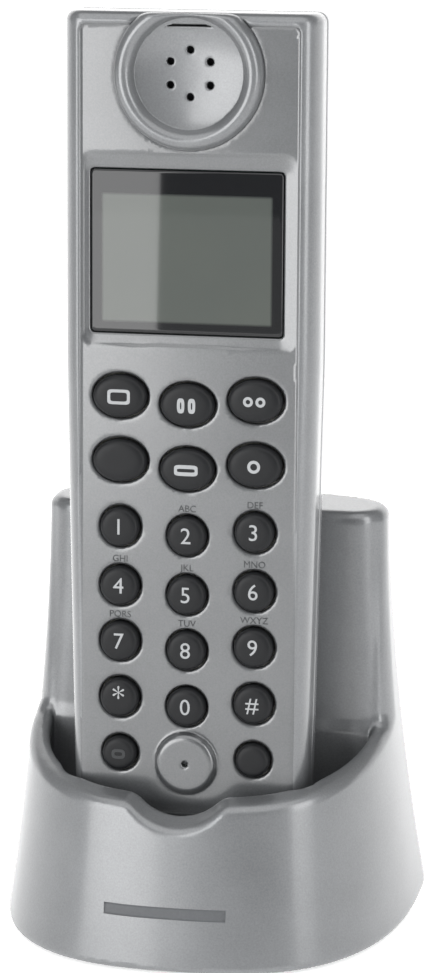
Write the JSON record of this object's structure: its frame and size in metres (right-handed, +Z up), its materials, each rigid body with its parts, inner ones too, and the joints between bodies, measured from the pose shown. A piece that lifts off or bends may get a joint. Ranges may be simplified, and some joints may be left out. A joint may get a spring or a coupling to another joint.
{
  "type": "cordless phone with base",
  "caption": "Cordless telephone handset with display and keypad, standing upright in a rounded charging base with a tall backrest.",
  "frame": {"origin": "centre of the bounding box of handset and base at the table surface", "axes": "+Z up, keypad and front of the base facing -Y, +X to the right seen from the front"},
  "size_m": [0.0856, 0.0832, 0.1885],
  "materials": {
    "silver_abs": "satin silver-grey moulded ABS",
    "rear_abs": "satin silver-grey moulded ABS",
    "window": "glossy black-printed acrylic",
    "lcd": "grey-green liquid crystal glass",
    "silicone": "translucent silicone rubber",
    "circuit_board": "green solder mask",
    "speaker": "dark speaker body",
    "tinned_steel": "tinned sheet steel",
    "battery_sleeve": "shrink sleeve",
    "spring_steel": "nickel-plated spring steel",
    "gold_contact": "plated spring contact",
    "screw_steel": "zinc-plated steel",
    "base_plate_abs": "textured dark grey ABS",
    "jack_black": "black moulded nylon",
    "key_plastic": "charcoal satin ABS",
    "foot_rubber": "soft rubber"
  },
  "bodies": {
    "base": {"base_housing": "silver_abs", "base_plate": "base_plate_abs", "base_board": "circuit_board", "radio_shield": "tinned_steel", "line_jack": "jack_black", "power_jack": "jack_black", "rubber_feet": "foot_rubber", "base_screws": "screw_steel"},
    "handset": {"front_case": "silver_abs", "rear_case": "rear_abs", "earpiece_ring": "silver_abs", "display_window": "window", "lcd_module": "lcd", "keypad_mat": "silicone", "main_board": "circuit_board", "receiver": "speaker", "microphone": "tinned_steel", "ringer_speaker": "speaker", "battery_cells": "battery_sleeve", "battery_contacts": "spring_steel", "charge_pads": "gold_contact", "handset_screws": "screw_steel"},
    "battery_cover": {"battery_cover": "rear_abs"},
    "charge_blades": {"charge_blades": "gold_contact"},
    "page_button": {"page_button": "key_plastic"},
    "key_menu": {"key_menu": "key_plastic"},
    "key_phonebook": {"key_phonebook": "key_plastic"},
    "key_redial": {"key_redial": "key_plastic"},
    "key_talk": {"key_talk": "key_plastic"},
    "key_recall": {"key_recall": "key_plastic"},
    "key_end": {"key_end": "key_plastic"},
    "key_1": {"key_1": "key_plastic"},
    "key_2": {"key_2": "key_plastic"},
    "key_3": {"key_3": "key_plastic"},
    "key_4": {"key_4": "key_plastic"},
    "key_5": {"key_5": "key_plastic"},
    "key_6": {"key_6": "key_plastic"},
    "key_7": {"key_7": "key_plastic"},
    "key_8": {"key_8": "key_plastic"},
    "key_9": {"key_9": "key_plastic"},
    "key_star": {"key_star": "key_plastic"},
    "key_0": {"key_0": "key_plastic"},
    "key_hash": {"key_hash": "key_plastic"},
    "key_mute": {"key_mute": "key_plastic"},
    "key_volume": {"key_volume": "key_plastic"}
  },
  "joints": [
    {"name": "handset_lift", "type": "slide", "parent": "base", "child": "handset", "axis": [0, 0.0861, 0.9963], "range_m": [0, 0.06]},
    {"name": "battery_cover_lift", "type": "slide", "parent": "handset", "child": "battery_cover", "axis": [0, 0.9963, -0.0861], "range_m": [0, 0.012]},
    {"name": "charge_blade_press", "type": "slide", "parent": "base", "child": "charge_blades", "axis": [0, -0.0861, -0.9963], "range_m": [0, 0.0008], "stiffness_N_per_m": 300, "springref_m": -0.0005},
    {"name": "page_button_press", "type": "slide", "parent": "base", "child": "page_button", "axis": [0, -1, 0], "range_m": [0, 0.0006], "stiffness_N_per_m": 500, "springref_m": -0.0005},
    {"name": "press_key_menu", "type": "slide", "parent": "handset", "child": "key_menu", "axis": [0, 0.9963, -0.0861], "range_m": [0, 0.0008], "stiffness_N_per_m": 400, "springref_m": -0.0005},
    {"name": "press_key_phonebook", "type": "slide", "parent": "handset", "child": "key_phonebook", "axis": [0, 0.9963, -0.0861], "range_m": [0, 0.0008], "stiffness_N_per_m": 400, "springref_m": -0.0005},
    {"name": "press_key_redial", "type": "slide", "parent": "handset", "child": "key_redial", "axis": [0, 0.9963, -0.0861], "range_m": [0, 0.0008], "stiffness_N_per_m": 400, "springref_m": -0.0005},
    {"name": "press_key_talk", "type": "slide", "parent": "handset", "child": "key_talk", "axis": [0, 0.9963, -0.0861], "range_m": [0, 0.0008], "stiffness_N_per_m": 400, "springref_m": -0.0005},
    {"name": "press_key_recall", "type": "slide", "parent": "handset", "child": "key_recall", "axis": [0, 0.9963, -0.0861], "range_m": [0, 0.0008], "stiffness_N_per_m": 400, "springref_m": -0.0005},
    {"name": "press_key_end", "type": "slide", "parent": "handset", "child": "key_end", "axis": [0, 0.9963, -0.0861], "range_m": [0, 0.0008], "stiffness_N_per_m": 400, "springref_m": -0.0005},
    {"name": "press_key_1", "type": "slide", "parent": "handset", "child": "key_1", "axis": [0, 0.9963, -0.0861], "range_m": [0, 0.0008], "stiffness_N_per_m": 400, "springref_m": -0.0005},
    {"name": "press_key_2", "type": "slide", "parent": "handset", "child": "key_2", "axis": [0, 0.9963, -0.0861], "range_m": [0, 0.0008], "stiffness_N_per_m": 400, "springref_m": -0.0005},
    {"name": "press_key_3", "type": "slide", "parent": "handset", "child": "key_3", "axis": [0, 0.9963, -0.0861], "range_m": [0, 0.0008], "stiffness_N_per_m": 400, "springref_m": -0.0005},
    {"name": "press_key_4", "type": "slide", "parent": "handset", "child": "key_4", "axis": [0, 0.9963, -0.0861], "range_m": [0, 0.0008], "stiffness_N_per_m": 400, "springref_m": -0.0005},
    {"name": "press_key_5", "type": "slide", "parent": "handset", "child": "key_5", "axis": [0, 0.9963, -0.0861], "range_m": [0, 0.0008], "stiffness_N_per_m": 400, "springref_m": -0.0005},
    {"name": "press_key_6", "type": "slide", "parent": "handset", "child": "key_6", "axis": [0, 0.9963, -0.0861], "range_m": [0, 0.0008], "stiffness_N_per_m": 400, "springref_m": -0.0005},
    {"name": "press_key_7", "type": "slide", "parent": "handset", "child": "key_7", "axis": [0, 0.9963, -0.0861], "range_m": [0, 0.0008], "stiffness_N_per_m": 400, "springref_m": -0.0005},
    {"name": "press_key_8", "type": "slide", "parent": "handset", "child": "key_8", "axis": [0, 0.9963, -0.0861], "range_m": [0, 0.0008], "stiffness_N_per_m": 400, "springref_m": -0.0005},
    {"name": "press_key_9", "type": "slide", "parent": "handset", "child": "key_9", "axis": [0, 0.9963, -0.0861], "range_m": [0, 0.0008], "stiffness_N_per_m": 400, "springref_m": -0.0005},
    {"name": "press_key_star", "type": "slide", "parent": "handset", "child": "key_star", "axis": [0, 0.9963, -0.0861], "range_m": [0, 0.0008], "stiffness_N_per_m": 400, "springref_m": -0.0005},
    {"name": "press_key_0", "type": "slide", "parent": "handset", "child": "key_0", "axis": [0, 0.9963, -0.0861], "range_m": [0, 0.0008], "stiffness_N_per_m": 400, "springref_m": -0.0005},
    {"name": "press_key_hash", "type": "slide", "parent": "handset", "child": "key_hash", "axis": [0, 0.9963, -0.0861], "range_m": [0, 0.0008], "stiffness_N_per_m": 400, "springref_m": -0.0005},
    {"name": "press_key_mute", "type": "slide", "parent": "handset", "child": "key_mute", "axis": [0, 0.9963, -0.0861], "range_m": [0, 0.0008], "stiffness_N_per_m": 400, "springref_m": -0.0005},
    {"name": "press_key_volume", "type": "slide", "parent": "handset", "child": "key_volume", "axis": [0, 0.9963, -0.0861], "range_m": [0, 0.0008], "stiffness_N_per_m": 400, "springref_m": -0.0005}
  ]
}
